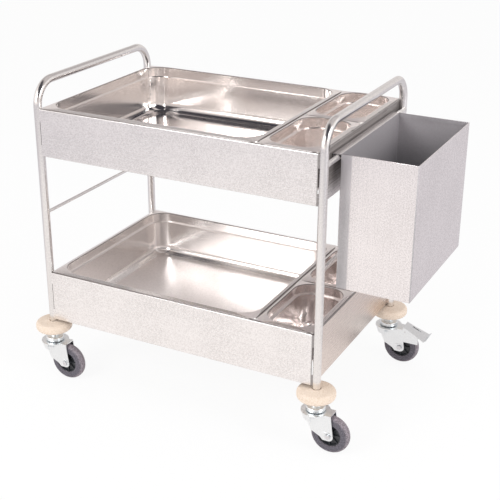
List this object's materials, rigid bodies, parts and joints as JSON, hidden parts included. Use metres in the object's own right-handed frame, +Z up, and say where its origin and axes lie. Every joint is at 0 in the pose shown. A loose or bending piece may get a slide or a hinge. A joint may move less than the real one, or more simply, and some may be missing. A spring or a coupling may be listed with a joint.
{
  "type": "serving trolley",
  "caption": "Stainless serving trolley with two shelves of drop-in pans, tube end handles, a hanging waste bin, round bumpers and swivel casters with rear brakes.",
  "frame": {"origin": "on the floor, midway between the four legs", "axes": "+X to the end with the waste bin, -Y to the front, +Z up"},
  "size_m": [1.227, 0.726, 0.9945],
  "materials": {
    "satin_tube": "satin tube with polished bends",
    "apron_sheet": "brushed sheet, fine grain along its length",
    "pan_steel": "bright drawn sheet, semi-polished",
    "bin_sheet": "brushed sheet, upright grain",
    "fastener_steel": "bright plated steel",
    "zinc_plate": "bright zinc plate",
    "bumper_rubber": "matte beige",
    "tyre_rubber": "matte, dark grey",
    "black_plastic": "moulded, black",
    "bush_plastic": "moulded, natural"
  },
  "bodies": {
    "trolley_frame": {"left_end_frame": "satin_tube", "left_brace_rod": "satin_tube", "right_end_frame": "satin_tube", "right_brace_rod": "satin_tube", "bin_rail": "satin_tube", "upper_front_panel": "apron_sheet", "upper_back_panel": "apron_sheet", "upper_left_panel": "apron_sheet", "upper_right_panel": "apron_sheet", "upper_divider_bar": "apron_sheet", "upper_cross_bar": "apron_sheet", "lower_front_panel": "apron_sheet", "lower_back_panel": "apron_sheet", "lower_left_panel": "apron_sheet", "lower_right_panel": "apron_sheet", "lower_divider_bar": "apron_sheet", "lower_cross_bar": "apron_sheet", "front_left_bumper": "bumper_rubber", "front_right_bumper": "bumper_rubber", "back_left_bumper": "bumper_rubber", "back_right_bumper": "bumper_rubber", "leg_plugs": "black_plastic", "caster_stems": "fastener_steel", "stem_sockets": "zinc_plate", "caster_top_cups": "zinc_plate", "swivel_balls": "fastener_steel"},
    "upper_large_pan_body": {"upper_large_pan": "pan_steel"},
    "upper_front_small_pan_body": {"upper_front_small_pan": "pan_steel"},
    "upper_back_small_pan_body": {"upper_back_small_pan": "pan_steel"},
    "lower_large_pan_body": {"lower_large_pan": "pan_steel"},
    "lower_front_small_pan_body": {"lower_front_small_pan": "pan_steel"},
    "lower_back_small_pan_body": {"lower_back_small_pan": "pan_steel"},
    "waste_bin_body": {"waste_bin": "bin_sheet"},
    "front_left_swivel": {"front_left_fork": "zinc_plate", "front_left_axle_bolt": "fastener_steel"},
    "front_left_wheel": {"front_left_tyre": "tyre_rubber", "front_left_wheel_core": "black_plastic", "front_left_wheel_bush": "bush_plastic"},
    "front_right_swivel": {"front_right_fork": "zinc_plate", "front_right_axle_bolt": "fastener_steel"},
    "front_right_wheel": {"front_right_tyre": "tyre_rubber", "front_right_wheel_core": "black_plastic", "front_right_wheel_bush": "bush_plastic"},
    "back_left_swivel": {"back_left_fork": "zinc_plate", "back_left_axle_bolt": "fastener_steel", "back_left_brake_pin": "fastener_steel"},
    "back_left_wheel": {"back_left_tyre": "tyre_rubber", "back_left_wheel_core": "black_plastic", "back_left_wheel_bush": "bush_plastic"},
    "back_left_brake": {"back_left_brake_pedal": "zinc_plate"},
    "back_right_swivel": {"back_right_fork": "zinc_plate", "back_right_axle_bolt": "fastener_steel", "back_right_brake_pin": "fastener_steel"},
    "back_right_wheel": {"back_right_tyre": "tyre_rubber", "back_right_wheel_core": "black_plastic", "back_right_wheel_bush": "bush_plastic"},
    "back_right_brake": {"back_right_brake_pedal": "zinc_plate"}
  },
  "joints": [
    {"name": "upper_large_pan_lift", "type": "slide", "parent": "trolley_frame", "child": "upper_large_pan_body", "axis": [0, 0, 1], "range_m": [0, 0.16]},
    {"name": "upper_front_small_pan_lift", "type": "slide", "parent": "trolley_frame", "child": "upper_front_small_pan_body", "axis": [0, 0, 1], "range_m": [0, 0.16]},
    {"name": "upper_back_small_pan_lift", "type": "slide", "parent": "trolley_frame", "child": "upper_back_small_pan_body", "axis": [0, 0, 1], "range_m": [0, 0.16]},
    {"name": "lower_large_pan_lift", "type": "slide", "parent": "trolley_frame", "child": "lower_large_pan_body", "axis": [0, 0, 1], "range_m": [0, 0.16]},
    {"name": "lower_front_small_pan_lift", "type": "slide", "parent": "trolley_frame", "child": "lower_front_small_pan_body", "axis": [0, 0, 1], "range_m": [0, 0.16]},
    {"name": "lower_back_small_pan_lift", "type": "slide", "parent": "trolley_frame", "child": "lower_back_small_pan_body", "axis": [0, 0, 1], "range_m": [0, 0.16]},
    {"name": "waste_bin_lift", "type": "slide", "parent": "trolley_frame", "child": "waste_bin_body", "axis": [0, 0, 1], "range_m": [0, 0.06]},
    {"name": "front_left_swivel_turn", "type": "hinge", "parent": "trolley_frame", "child": "front_left_swivel", "pos_m": [-0.466, -0.305, 0.1295], "axis": [0, 0, 1], "continuous": true},
    {"name": "front_left_wheel_roll", "type": "hinge", "parent": "front_left_swivel", "child": "front_left_wheel", "pos_m": [-0.416, -0.305, 0.06], "axis": [0, 1, 0], "continuous": true},
    {"name": "front_right_swivel_turn", "type": "hinge", "parent": "trolley_frame", "child": "front_right_swivel", "pos_m": [0.466, -0.305, 0.1295], "axis": [0, 0, 1], "continuous": true},
    {"name": "front_right_wheel_roll", "type": "hinge", "parent": "front_right_swivel", "child": "front_right_wheel", "pos_m": [0.516, -0.305, 0.06], "axis": [0, 1, 0], "continuous": true},
    {"name": "back_left_swivel_turn", "type": "hinge", "parent": "trolley_frame", "child": "back_left_swivel", "pos_m": [-0.466, 0.305, 0.1295], "axis": [0, 0, 1], "continuous": true},
    {"name": "back_left_wheel_roll", "type": "hinge", "parent": "back_left_swivel", "child": "back_left_wheel", "pos_m": [-0.416, 0.305, 0.06], "axis": [0, 1, 0], "continuous": true},
    {"name": "back_left_brake_press", "type": "hinge", "parent": "back_left_swivel", "child": "back_left_brake", "pos_m": [-0.4, 0.305, 0.123], "axis": [0, 1, 0], "range_deg": [0, 5.8]},
    {"name": "back_right_swivel_turn", "type": "hinge", "parent": "trolley_frame", "child": "back_right_swivel", "pos_m": [0.466, 0.305, 0.1295], "axis": [0, 0, 1], "continuous": true},
    {"name": "back_right_wheel_roll", "type": "hinge", "parent": "back_right_swivel", "child": "back_right_wheel", "pos_m": [0.516, 0.305, 0.06], "axis": [0, 1, 0], "continuous": true},
    {"name": "back_right_brake_press", "type": "hinge", "parent": "back_right_swivel", "child": "back_right_brake", "pos_m": [0.532, 0.305, 0.123], "axis": [0, 1, 0], "range_deg": [0, 5.8]}
  ]
}
